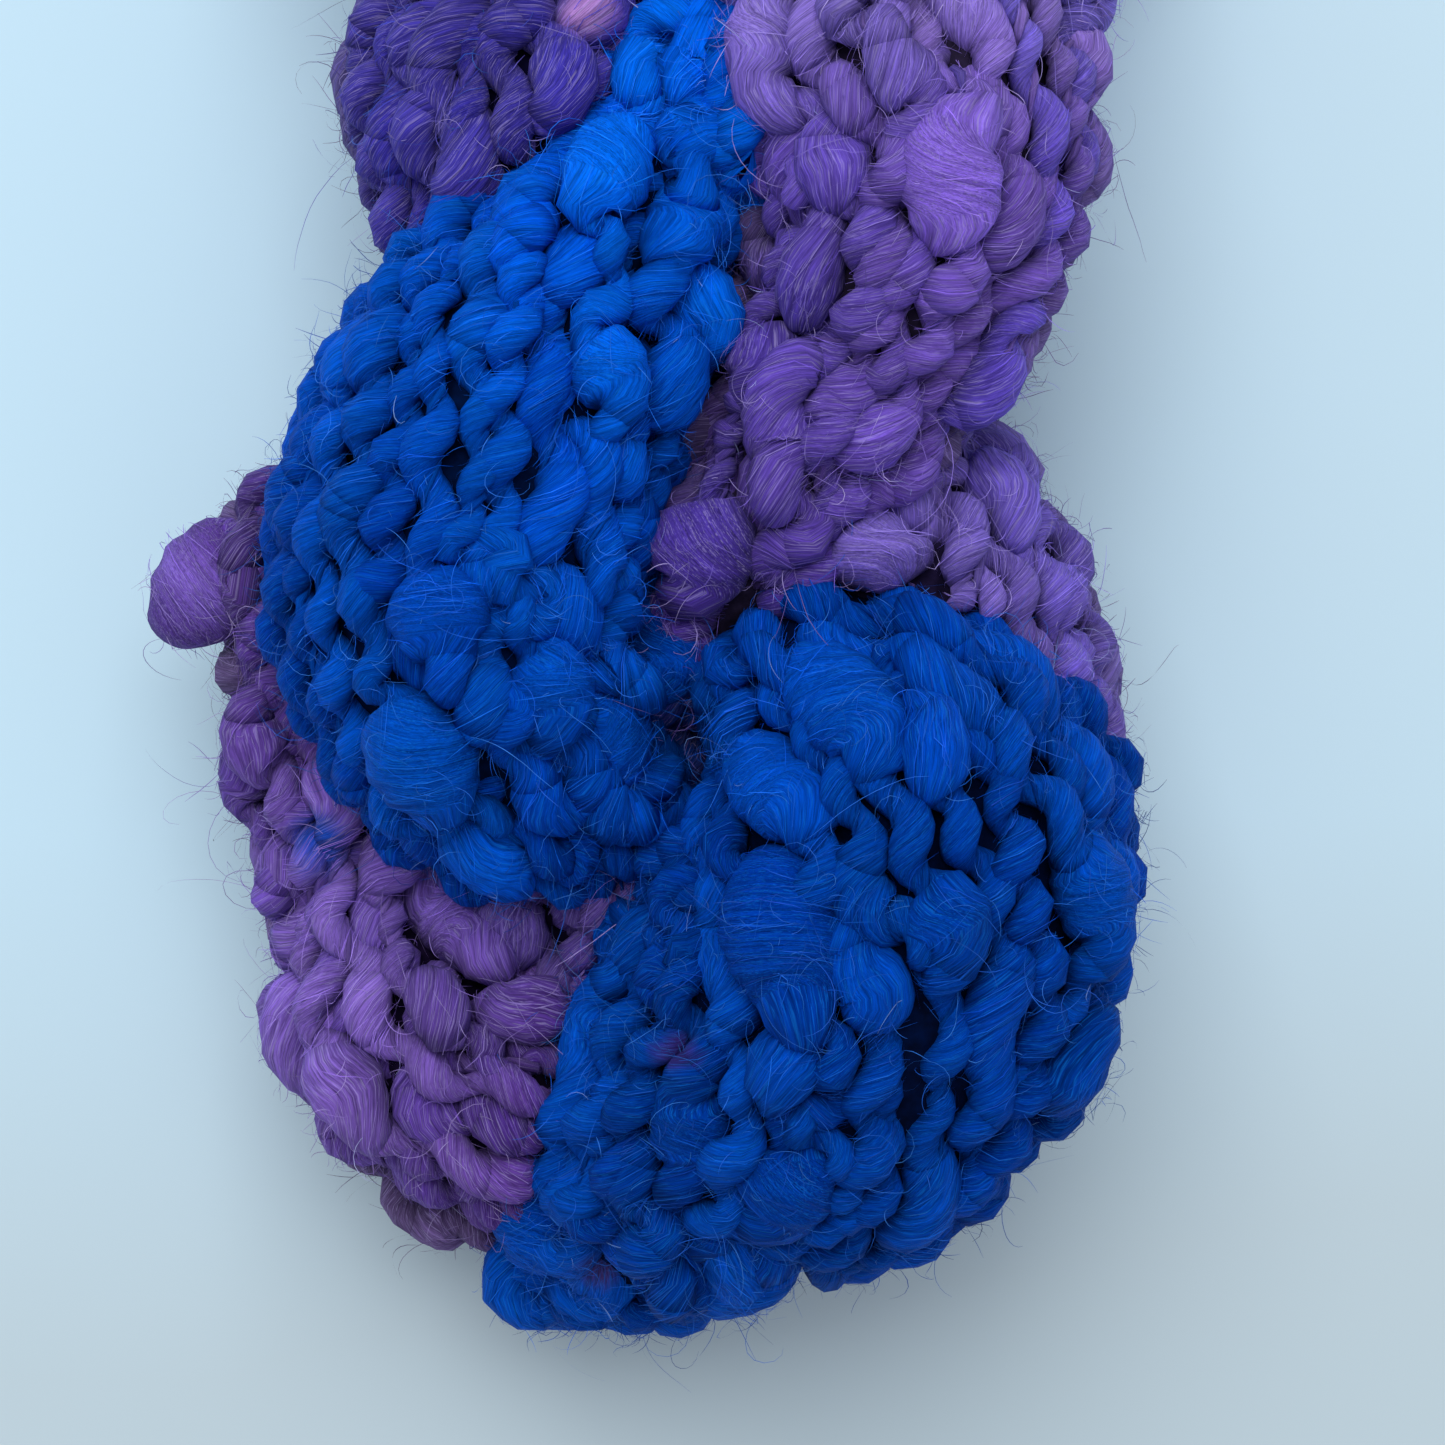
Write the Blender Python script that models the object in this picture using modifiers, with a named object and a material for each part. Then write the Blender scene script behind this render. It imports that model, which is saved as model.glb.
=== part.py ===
"""Twisted hank of thick and thin yarn, lying on a flat surface.

Metres, +Z up, +Y along the hank, origin at the bottom centre of its box.
The wound yarn is one solid: bundles of strands that cross over each other,
each grooved along its strands, with the fat slubs of the yarn on top.
"""

import math
from collections import namedtuple

import bmesh
import bpy
import numpy as np
from mathutils import Matrix, Vector

MM = 0.001

# The tables below are in millimetres. Y is measured from a point on the hank's
# axis, and the hank looks the same after a half turn about its middle.
MIDDLE_Y = 57.0

STRANDS_AROUND = 17
POINTS_PER_STRAND = 4
GROOVE_DEPTH = 0.11
STATION_SPACING = 3.0
SLUB_SINK = 0.35
SLUB_SEGMENTS = 16
SLUB_RINGS = 10
FUSE_VOXEL = 1.3
SOFTEN_STEPS = 1
WANTED_TRIANGLES = 11000
CUTTER_SIDE = 0.6

YARN_BLUE = (0.004, 0.07, 0.45, 1.0)
YARN_ROUGHNESS = 0.85

Section = namedtuple("Section", "x y z radius")
Slub = namedtuple("Slub", "bundle x y half_width half_length")

# Height of each bundle's section over its width.
HEIGHT_RATIO = {
    "front_left": 0.96,
    "front_right": 0.95,
    "low_right": 0.88,
    "low_left": 1.18,
    "back_left": 1.05,
    "back_right": 1.04,
    "under_left": 1.0,
}

BUNDLES = {
    "front_left": [
        Section(10.7, 92.0, 42, 8),
        Section(1.3, 80.6, 48, 10.5),
        Section(-10.1, 64.9, 49, 16.5),
        Section(-23.3, 44.1, 48, 23),
        Section(-30.6, 20.2, 47, 25),
        Section(-27.5, 2.0, 46, 22.5),
        Section(-18.5, -8.5, 42, 15.5),
        Section(-9.0, -13.0, 35, 10.5),
        Section(1.9, -17.0, 26, 8),
    ],
    "front_right": [
        Section(-0.6, 134.8, 26, 8),
        Section(8.2, 131.0, 35, 12),
        Section(18.3, 123.5, 43, 18),
        Section(24.6, 108.4, 48, 23),
        Section(25.5, 90.7, 49, 23),
        Section(27.3, 71.8, 49, 23),
        Section(23.4, 53.6, 49, 19.8),
        Section(13.6, 35.6, 48, 14.3),
        Section(5.0, 20.2, 45, 12.5),
        Section(-0.6, 10.1, 38, 9),
        Section(-5.0, 1.3, 28, 7),
    ],
    "back_left": [
        Section(6.9, 180.7, 17, 12),
        Section(-1.9, 173.1, 19, 17),
        Section(-9.5, 160.5, 22, 20),
        Section(-15.8, 143.6, 24, 22),
        Section(-18.9, 122.2, 26, 24),
        Section(-20.2, 103.3, 28, 21.5),
        Section(-22.8, 90.7, 32, 21.3),
        Section(-24.7, 78.1, 37, 22.3),
        Section(-20.2, 60.5, 35, 20.3),
        Section(-14.5, 45.4, 28, 16),
        Section(-6.9, 34.0, 26, 10),
    ],
    "back_right": [
        Section(6.9, 83.2, 28, 12),
        Section(10.5, 65.5, 26, 17.5),
        Section(12.5, 47.9, 26, 16.5),
        Section(19.0, 31.5, 28, 19.5),
        Section(27.0, 15.4, 29, 24.5),
        Section(28.8, 0.0, 28, 26),
        Section(23.3, -17.6, 26, 25),
        Section(15.8, -32.8, 24, 22),
        Section(9.5, -46.6, 21, 20),
        Section(1.9, -59.2, 17, 17),
        Section(-6.9, -66.8, 14, 12),
    ],
    "low_left": [
        Section(-48.0, 31.5, 30, 6),
        Section(-52.5, 22.5, 30, 9),
        Section(-53.5, 14.5, 29, 10.5),
        Section(-51.5, 2.5, 28, 11.5),
        Section(-48.3, -10.5, 27, 12.5),
        Section(-45.2, -24.0, 26, 14.2),
        Section(-40.3, -36.5, 25, 18.5),
        Section(-30.5, -45.5, 24, 20.5),
        Section(-18.5, -48.5, 24, 20.5),
        Section(-7.6, -40.0, 26, 14),
        Section(-0.6, -29.0, 26, 9),
    ],
    "low_right": [
        Section(2.5, 15.1, 40, 9),
        Section(14.0, 5.5, 44, 18.5),
        Section(23.0, -9.0, 46, 28.5),
        Section(23.7, -26.5, 45, 30.5),
        Section(12.2, -43.0, 42, 30),
        Section(-1.5, -54.5, 36, 24),
        Section(-9.4, -64.4, 30, 18),
        Section(-17.0, -69.5, 24, 12),
        Section(-20.2, -65.5, 18, 8),
    ],
    "under_left": [
        Section(-8.2, 49.1, 28, 12),
        Section(-18.5, 31.5, 22, 20.5),
        Section(-23.5, 10.1, 22, 25.5),
        Section(-21.0, -10.1, 22, 25.5),
        Section(-15.0, -27.0, 23, 19.5),
        Section(-6.0, -39.0, 25, 12),
    ],
}

# How far the strands turn round their bundle, in degrees from its length, at
# even stops along it.
TWIST = {
    "front_left": (28, 26, 8, 0),
    "front_right": (14, 12),
    "low_right": (0, 18, 56, 42, 30),
}

# Bundles that come again after a half turn. The turned copy of low_left starts
# tucked under the hank instead of beside it.
TUCKED_START = [Section(-33.0, 14.0, 28, 8), Section(-43.0, 3.0, 27, 10)]
TURNED = {
    "low_right": BUNDLES["low_right"],
    "low_left": TUCKED_START + BUNDLES["low_left"][4:],
    "under_left": BUNDLES["under_left"],
}

SLUBS = [
    Slub("front_right", 29.6, 65.5, 6.2, 11.0),
    Slub("front_right", 7.0, 83.0, 5.5, 8.0),
    Slub("front_right", -0.6, 21.4, 7.0, 7.8),
    Slub("back_right", 22.3, 19.5, 8.0, 6.0),
    Slub("front_left", -12.0, 66.8, 6.2, 7.6),
    Slub("front_left", -1.9, 60.5, 5.6, 7.6),
    Slub("front_left", -12.0, 42.2, 5.6, 6.4),
    Slub("front_left", -32.1, 12.6, 6.6, 6.6),
    Slub("front_left", -34.6, -4.4, 7.8, 9.2),
    Slub("front_left", -12.6, -2.5, 6.4, 9.0),
    Slub("front_left", -5.7, 9.0, 7.2, 7.6),
    Slub("front_left", -26.0, -16.5, 5.4, 9.5),
    Slub("low_right", 17.0, 1.3, 6.4, 13.5),
    Slub("low_right", 8.2, -8.8, 6.0, 11.5),
    Slub("low_right", 9.5, -26.5, 7.8, 12.6),
    Slub("low_right", 47.5, -21.4, 5.8, 9.6),
    Slub("low_right", 9.5, -56.7, 6.6, 7.8),
    Slub("low_right", -1.9, -50.4, 5.8, 9.0),
    Slub("low_right", -20.2, -64.9, 7.0, 7.2),
    Slub("low_right", -4.4, -65.5, 7.8, 7.8),
    Slub("low_left", -67.0, 16.5, 7.7, 7.6),
    Slub("low_left", -32.1, -26.5, 5.6, 11.5),
    Slub("low_left", -13.2, -28.4, 5.4, 7.8),
    Slub("low_left", -46.5, -47.0, 6.0, 7.8),
    Slub("low_left", -36.0, -68.0, 4.8, 5.8),
]


def smooth_path(sections, spacing):
    """Stations at an even spacing on a Catmull-Rom curve through the sections: x, y, z, radius."""
    rows = np.array(sections, float)
    rows = np.vstack([2 * rows[0] - rows[1], rows, 2 * rows[-1] - rows[-2]])
    rows[:, 3] = np.maximum(rows[:, 3], 4.0)
    fine = []
    for i in range(1, len(rows) - 2):
        a, b, c, d = rows[i - 1 : i + 3]
        for t in np.linspace(0, 1, 24, endpoint=False):
            fine.append(
                0.5
                * (
                    2 * b
                    + (c - a) * t
                    + (2 * a - 5 * b + 4 * c - d) * t**2
                    + (3 * b - a - 3 * c + d) * t**3
                )
            )
    fine = np.array(fine + [rows[-2]])
    steps = np.linalg.norm(np.diff(fine[:, :3], axis=0), axis=1)
    along = np.concatenate([[0], np.cumsum(steps)])
    count = max(3, round(along[-1] / spacing)) + 1
    wanted = np.linspace(0, along[-1], count)
    return np.column_stack([np.interp(wanted, along, fine[:, k]) for k in range(4)])


def half_turned(sections):
    """The same sections after a half turn about the hank's middle, about Z."""
    return [Section(-s.x, 2 * MIDDLE_Y - s.y, s.z, s.radius) for s in sections]


def yarn_material():
    material = bpy.data.materials.new("yarn")
    material.use_nodes = True
    shader = material.node_tree.nodes["Principled BSDF"]
    shader.inputs["Base Color"].default_value = YARN_BLUE
    shader.inputs["Roughness"].default_value = YARN_ROUGHNESS
    shader.inputs["Metallic"].default_value = 0.0
    return material


def collection_named(name):
    collection = bpy.data.collections.new(name)
    bpy.context.scene.collection.children.link(collection)
    return collection


def strand_profile(height_ratio, guides):
    """Closed outline of radius 1 with a groove between each two strands."""
    count = STRANDS_AROUND * POINTS_PER_STRAND
    curve = bpy.data.curves.new("strand_profile", "CURVE")
    curve.dimensions = "2D"
    spline = curve.splines.new("POLY")
    spline.points.add(count - 1)
    for i, point in enumerate(spline.points):
        angle = 2 * math.pi * i / count
        reach = 1 - GROOVE_DEPTH * (i % POINTS_PER_STRAND == 0)
        point.co = (
            reach * math.cos(angle),
            reach * math.sin(angle) * height_ratio,
            0,
            1,
        )
    spline.use_cyclic_u = True
    guide = bpy.data.objects.new("strand_profile", curve)
    guide.hide_render = True
    guide.display_type = "WIRE"
    guides.objects.link(guide)
    return guide


def bundle_mesh(name, sections, height_ratio, parts, guides):
    """One bundle of strands as a closed mesh: the grooved outline swept along its path."""
    stations = smooth_path(sections, STATION_SPACING)
    curve = bpy.data.curves.new(name, "CURVE")
    curve.dimensions = "3D"
    curve.twist_mode = "Z_UP"
    curve.bevel_mode = "OBJECT"
    curve.bevel_object = strand_profile(height_ratio, guides)
    curve.use_fill_caps = True
    spline = curve.splines.new("POLY")
    spline.points.add(len(stations) - 1)
    for point, (x, y, z, radius) in zip(spline.points, stations):
        point.co = (x * MM, y * MM, z * MM, 1)
        point.radius = radius * MM
    swept = bpy.data.objects.new(name + "_path", curve)
    parts.objects.link(swept)
    bpy.context.view_layer.update()
    depsgraph = bpy.context.evaluated_depsgraph_get()
    mesh = bpy.data.meshes.new_from_object(swept.evaluated_get(depsgraph))
    bpy.data.objects.remove(swept)
    shape = bmesh.new()
    shape.from_mesh(mesh)
    bmesh.ops.remove_doubles(shape, verts=shape.verts, dist=0.00001)
    bmesh.ops.recalc_face_normals(shape, faces=shape.faces)
    shape.to_mesh(mesh)
    shape.free()
    bundle = bpy.data.objects.new(name, mesh)
    parts.objects.link(bundle)
    return bundle


def twist_at(bundle, share):
    """The strands' turn in radians at that share of the bundle's length."""
    stops = TWIST.get(bundle, (0,))
    place = share * (len(stops) - 1)
    return math.radians(float(np.interp(place, range(len(stops)), stops)))


def slub_mesh(slub, sections, height_ratio, parts):
    """A fat spindle of yarn that lies along its bundle's strands, partly sunk in its surface."""
    stations = smooth_path(sections, 1.0)
    offsets = stations[:, :2] - (slub.x, slub.y)
    nearest = int(np.argmin(np.linalg.norm(offsets, axis=1)))
    nearest = min(max(nearest, 1), len(stations) - 2)
    x, y, z, radius = (float(value) for value in stations[nearest])
    along = Vector(stations[nearest + 1][:3] - stations[nearest - 1][:3]).normalized()
    across = along.cross(Vector((0, 0, 1))).normalized()
    up = across.cross(along)
    sideways = Vector((slub.x - x, slub.y - y, 0)).dot(across)
    reach = radius - SLUB_SINK * slub.half_width
    lean = math.asin(max(-1.0, min(1.0, sideways / reach)))
    centre = Vector((x, y, z)) + reach * (
        math.sin(lean) * across + math.cos(lean) * height_ratio * up
    )
    if abs(sideways) > reach:
        centre += across * (sideways - math.copysign(reach, sideways))
    outward = math.sin(lean) * across + math.cos(lean) * up
    share = nearest / (len(stations) - 1)
    twist = Matrix.Rotation(twist_at(slub.bundle, share), 3, outward)
    lengthwise = twist @ along
    sidewise = lengthwise.cross(outward)
    shape = bmesh.new()
    bmesh.ops.create_uvsphere(
        shape, u_segments=SLUB_SEGMENTS, v_segments=SLUB_RINGS, radius=1.0
    )
    size = Matrix.Diagonal((slub.half_width, slub.half_width, slub.half_length, 1))
    turn = Matrix((sidewise, outward, lengthwise)).transposed().to_4x4()
    place = Matrix.Translation(centre * MM) @ turn @ Matrix.Scale(MM, 4) @ size
    bmesh.ops.transform(shape, matrix=place, verts=shape.verts)
    bmesh.ops.recalc_face_normals(shape, faces=shape.faces)
    mesh = bpy.data.meshes.new("slub")
    shape.to_mesh(mesh)
    shape.free()
    lump = bpy.data.objects.new("slub", mesh)
    parts.objects.link(lump)
    return lump


def evaluated_mesh(holder):
    """The object's mesh as its modifiers leave it."""
    depsgraph = bpy.context.evaluated_depsgraph_get()
    return bpy.data.meshes.new_from_object(holder.evaluated_get(depsgraph))


def fused(pieces, parts):
    """All the pieces as one closed skin, smoothed a little and thinned out."""
    joined = bmesh.new()
    for piece in pieces:
        joined.from_mesh(piece.data)
        bpy.data.objects.remove(piece)
    mesh = bpy.data.meshes.new("hank")
    joined.to_mesh(mesh)
    joined.free()
    hank = bpy.data.objects.new("hank", mesh)
    parts.objects.link(hank)
    remesh = hank.modifiers.new("fuse", "REMESH")
    remesh.mode = "VOXEL"
    remesh.voxel_size = FUSE_VOXEL * MM
    soften = hank.modifiers.new("soften", "SMOOTH")
    soften.factor = 0.5
    soften.iterations = SOFTEN_STEPS
    hank.data = evaluated_mesh(hank)
    hank.modifiers.clear()
    thin = hank.modifiers.new("thin_out", "DECIMATE")
    thin.ratio = WANTED_TRIANGLES / (2 * len(hank.data.polygons))
    hank.data = evaluated_mesh(hank)
    hank.modifiers.clear()
    return hank


def cut_flat(hank, cutter):
    """Takes away what lies below the surface, so that the hank rests on flat spots."""
    below = hank.modifiers.new("below", "BOOLEAN")
    below.operation = "DIFFERENCE"
    below.solver = "EXACT"
    below.object = cutter
    hank.data = evaluated_mesh(hank)
    hank.modifiers.clear()
    bpy.data.objects.remove(cutter)


def floor_cutter(parts):
    """A box under the surface that the hank lies on."""
    shape = bmesh.new()
    bmesh.ops.create_cube(shape, size=CUTTER_SIDE)
    below = Vector((0, MIDDLE_Y * MM, -CUTTER_SIDE / 2))
    bmesh.ops.translate(shape, verts=shape.verts, vec=below)
    mesh = bpy.data.meshes.new("floor_cutter")
    shape.to_mesh(mesh)
    shape.free()
    cutter = bpy.data.objects.new("floor_cutter", mesh)
    parts.objects.link(cutter)
    return cutter


def centre_on_origin(hank):
    """Moves the mesh so that its box is centred in X and Y and stands on Z = 0."""
    corners = np.array([v.co for v in hank.data.vertices])
    low, high = corners.min(axis=0), corners.max(axis=0)
    shift = Vector((-(low[0] + high[0]) / 2, -(low[1] + high[1]) / 2, -low[2]))
    hank.data.transform(Matrix.Translation(shift))
    print("hank shifted by", [round(value / MM, 3) for value in shift])


def build():
    for old in list(bpy.data.objects):
        bpy.data.objects.remove(old)
    parts = collection_named("yarn_hank")
    guides = collection_named("guides")
    bundles = [
        bundle_mesh(name, sections, HEIGHT_RATIO[name], parts, guides)
        for name, sections in BUNDLES.items()
    ]
    bundles += [
        bundle_mesh(
            name + "_turned",
            half_turned(sections),
            HEIGHT_RATIO[name],
            parts,
            guides,
        )
        for name, sections in TURNED.items()
    ]
    lumps = [
        slub_mesh(slub, BUNDLES[slub.bundle], HEIGHT_RATIO[slub.bundle], parts)
        for slub in SLUBS
    ]
    hank = fused(bundles + lumps, parts)
    cut_flat(hank, floor_cutter(parts))
    hank.data.materials.clear()
    hank.data.materials.append(yarn_material())
    centre_on_origin(hank)


build()
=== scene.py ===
"""Looks of a twisted hank of thick and thin yarn.

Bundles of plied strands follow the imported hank's form. Each strand is a fat
single that coils round a thin one, with slubs where the spinner let it swell,
and fine fibres lie on it and stand off it.
"""

import math
from collections import namedtuple

import bpy
import numpy as np
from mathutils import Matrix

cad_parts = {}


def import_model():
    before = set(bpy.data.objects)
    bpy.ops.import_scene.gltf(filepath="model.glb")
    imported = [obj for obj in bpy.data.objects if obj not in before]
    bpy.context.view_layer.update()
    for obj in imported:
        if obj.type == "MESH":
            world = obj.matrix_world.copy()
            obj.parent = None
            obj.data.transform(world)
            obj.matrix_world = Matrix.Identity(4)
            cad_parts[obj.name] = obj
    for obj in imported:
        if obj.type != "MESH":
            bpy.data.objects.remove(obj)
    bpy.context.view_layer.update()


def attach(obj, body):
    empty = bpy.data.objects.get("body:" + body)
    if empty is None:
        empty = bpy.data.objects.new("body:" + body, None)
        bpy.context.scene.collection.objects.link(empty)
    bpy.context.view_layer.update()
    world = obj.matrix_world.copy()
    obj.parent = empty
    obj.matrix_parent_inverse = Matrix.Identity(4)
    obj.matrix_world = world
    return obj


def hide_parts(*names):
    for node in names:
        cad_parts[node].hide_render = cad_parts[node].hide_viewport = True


MM = 0.001
SEED = 11

# Bundle tables are in millimetres. Y runs along the hank from a point on its
# axis, and the hank looks the same after a half turn about its middle.
MIDDLE_Y = 57.0
TO_FRAME = np.array([6.958, -57.008, 0.0])

# Strands in a bundle, in mm: their spacing, how deep they lie and how they sway.
# Where a bundle narrows, some of them sink, and the deepest are left out.
STRAND_SPACING = 5.8
STRAND_INSET = 3.4
INSET_SWAY = 1.1
STRAND_SWAY = 0.8
STRAND_SWAY_REACH = 24
OWN_SWAY = 0.3
OWN_SWAY_REACH = 15
PLACE_JITTER = 0.2
CROWDED_SPACING = 0.92 * STRAND_SPACING
CROWD_SINK = 7.0
DEEPEST_SINK = 4.6
GOLDEN = 0.618

# The plied strand, in mm: a fat single that coils round a thin binder. Its waves of
# thickness are a strength and a reach.
SINGLE_RADIUS = 2.2
THICKNESS_EACH = 0.1
THICKNESS_WAVES = [(0.2, 28), (0.34, 9), (0.16, 4)]
PLUMP = 0.15
PLUMP_UNDER = 3.6
COIL_OFFSET = 0.58
COIL_FADE_FROM = 2.8
COIL_FADE = 1.5
PITCH_SWAY = 0.3
PITCH_SWAY_REACH = 14
THIN_SLANT = 16
SLUB_SLANT = (74, 82)
SLANT_TURNS_FROM = 2.9
SLANT_TURNS_OVER = 2.4
THREAD_RADIUS = 0.3
THREAD_GROWTH = 0.55
THREAD_SUNK = 1.5
END_TAPER = 3.0
# Painted shade: the least share of a tube's colour, kept on its side that faces into the bundle.
DEEP_SHADE = 0.35
THIN_SIDES = 10
FAT_SIDES = 16
SLUB_SIDES = 26
UNSEEN_SIDES = 8
FAT_RADIUS = 3.1
SLUB_RADIUS = 5.2
BINDER_SIDES = 5
PITCH_PER_RADIUS = 4.3
STEP_PER_PITCH = 0.125
STEP_SMALLEST = 0.65
STEP_LARGEST = 1.2
UNDERSIDE_STRIDE = 2.6
SLUB_SUNK = 0.2
SLUB_FULLNESS = 0.94
TANGENT_REACH = 4
LEAD_REACH = 1.2
PART_REACH = 1.15
OWN_REACH = 1.3
TAKEN_COST = 30.0
RANDOM_SLUB_LENGTH = (4.8, 9.0)
RANDOM_SLUB_WIDTH = 3.2
RANDOM_SLUB_SPREAD = 2.1
RANDOM_SLUB_GAP = (20, 62)
TUFT_DROOP = 0.03
NEIGHBOUR_ROOM = 2.1
FARTHEST_PUSH = 6.0
SKIN_DEPTH = 2.6
HIDDEN_DEPTH = 4.8
SHORTEST_RUN = 9
CORE_INSET = 5.2
CORE_FLUTES = 13
CORE_SIDES = 26
CORE_FLUTE_DEPTH = 1.1
CORE_BEAD = 9.0
CORE_STRIDE = 4
CORE_LOWEST = 2.5
# The core's share of its bundle's dye: painted shade.
CORE_SHADE = 0.07
FLOOR_CLEARANCE = 0.15
PRESSED_UNDER = 1.5

# Fibres, in mm. The radius is that of the fibre coordinates' own tube.
FIBRE_RADIUS = 3.2
SURFACE_FIBRES = 8600
SURFACE_STEPS = 5
SURFACE_LENGTH = (2.5, 7.0)
SURFACE_WAVE = (3.0, 7.0)
SURFACE_BOW = 0.022
FIBRE_WIDTH = 0.1
LOOSE_WIDTH = 0.075
ROOT_SPREAD = 0.75
HAIR_REACH = np.array([79.0, 148.5, 84.0])
HAIR_FLOOR = 0.4

Section = namedtuple("Section", "x y z radius")
Slub = namedtuple("Slub", "bundle x y half_width half_length")
Tuft = namedtuple("Tuft", "bundle x y z half_width half_length heading")
Dye = namedtuple("Dye", "stops second strand_share along_share")
Path = namedtuple("Path", "centre along across up radius ratio distance")
Peek = namedtuple("Peek", "x y reach colour")
Ply = namedtuple("Ply", "centre out other radius slant stride tint facing")
Curling = namedtuple("Curling", "count edges lengths rise curl stray steps")

# Fibres that leave the yarn: how much they keep to the edges, how they rise and curl in
# radians per mm, and how far they stray from the wool's own direction.
CURLING = {
    "halo_fibres": Curling(8800, 1.5, (2.5, 9.0), 0.4, 0.55, 0.5, 7),
    "edge_fibres": Curling(8600, 25.0, (2.5, 8.5), 0.8, 0.8, 1.2, 7),
    "loose_hairs": Curling(3600, 0.5, (7.0, 24.0), 0.1, 0.34, 1.0, 12),
}

BUNDLES = {
    "front_left": [
        Section(10.7, 92.0, 42, 8),
        Section(1.3, 80.6, 48, 10.5),
        Section(-10.1, 64.9, 49, 16.5),
        Section(-23.3, 44.1, 48, 23),
        Section(-30.6, 20.2, 47, 25),
        Section(-27.5, 2.0, 46, 22.5),
        Section(-18.5, -8.5, 42, 15.5),
        Section(-9.0, -13.0, 35, 10.5),
        Section(1.9, -17.0, 26, 8),
    ],
    "front_right": [
        Section(-0.6, 134.8, 26, 8),
        Section(8.2, 131.0, 35, 12),
        Section(18.3, 123.5, 43, 18),
        Section(24.6, 108.4, 48, 23),
        Section(25.5, 90.7, 49, 23),
        Section(27.3, 71.8, 49, 23),
        Section(23.4, 53.6, 49, 19.8),
        Section(13.6, 35.6, 48, 14.3),
        Section(5.0, 20.2, 45, 12.5),
        Section(-0.6, 10.1, 38, 9),
        Section(-5.0, 1.3, 28, 7),
    ],
    "back_left": [
        Section(6.9, 180.7, 17, 12),
        Section(-1.9, 173.1, 19, 17),
        Section(-9.5, 160.5, 22, 20),
        Section(-15.8, 143.6, 24, 22),
        Section(-18.9, 122.2, 26, 24),
        Section(-20.2, 103.3, 28, 21.5),
        Section(-22.8, 90.7, 32, 21.3),
        Section(-24.7, 78.1, 37, 22.3),
        Section(-20.2, 60.5, 35, 20.3),
        Section(-14.5, 45.4, 28, 16),
        Section(-6.9, 34.0, 26, 10),
    ],
    "back_right": [
        Section(6.9, 83.2, 28, 12),
        Section(10.5, 65.5, 26, 17.5),
        Section(12.5, 47.9, 26, 16.5),
        Section(19.0, 31.5, 28, 19.5),
        Section(27.0, 15.4, 29, 24.5),
        Section(28.8, 0.0, 28, 26),
        Section(23.3, -17.6, 26, 25),
        Section(15.8, -32.8, 24, 22),
        Section(9.5, -46.6, 21, 20),
        Section(1.9, -59.2, 17, 17),
        Section(-6.9, -66.8, 14, 12),
    ],
    "low_left": [
        Section(-48.0, 31.5, 30, 6),
        Section(-52.5, 22.5, 30, 9),
        Section(-53.5, 14.5, 29, 10.5),
        Section(-51.5, 2.5, 28, 11.5),
        Section(-48.3, -10.5, 27, 12.5),
        Section(-45.2, -24.0, 26, 14.2),
        Section(-40.3, -36.5, 25, 18.5),
        Section(-30.5, -45.5, 24, 20.5),
        Section(-18.5, -48.5, 24, 20.5),
        Section(-7.6, -40.0, 26, 14),
        Section(-0.6, -29.0, 26, 9),
    ],
    "low_right": [
        Section(2.5, 15.1, 40, 9),
        Section(14.0, 5.5, 44, 18.5),
        Section(23.0, -9.0, 46, 28.5),
        Section(23.7, -26.5, 45, 30.5),
        Section(12.2, -43.0, 42, 30),
        Section(-1.5, -54.5, 36, 24),
        Section(-9.4, -64.4, 30, 18),
        Section(-17.0, -69.5, 24, 12),
        Section(-20.2, -65.5, 18, 8),
    ],
    "under_left": [
        Section(-8.2, 49.1, 28, 12),
        Section(-18.5, 31.5, 22, 20.5),
        Section(-23.5, 10.1, 22, 25.5),
        Section(-21.0, -10.1, 22, 25.5),
        Section(-15.0, -27.0, 23, 19.5),
        Section(-6.0, -39.0, 25, 12),
    ],
}

# Height of each bundle's section over its width.
HEIGHT_RATIO = {
    "front_left": 0.96,
    "front_right": 0.95,
    "low_right": 0.88,
    "low_left": 1.18,
    "back_left": 1.05,
    "back_right": 1.04,
    "under_left": 1.0,
}

# Bundles that come again after a half turn. The turned copy of low_left starts
# tucked under the hank instead of beside it.
TUCKED_START = [Section(-33.0, 14.0, 28, 8), Section(-43.0, 3.0, 27, 10)]
TURNED = {
    "low_right": BUNDLES["low_right"],
    "low_left": TUCKED_START + BUNDLES["low_left"][4:],
    "under_left": BUNDLES["under_left"],
}

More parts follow.
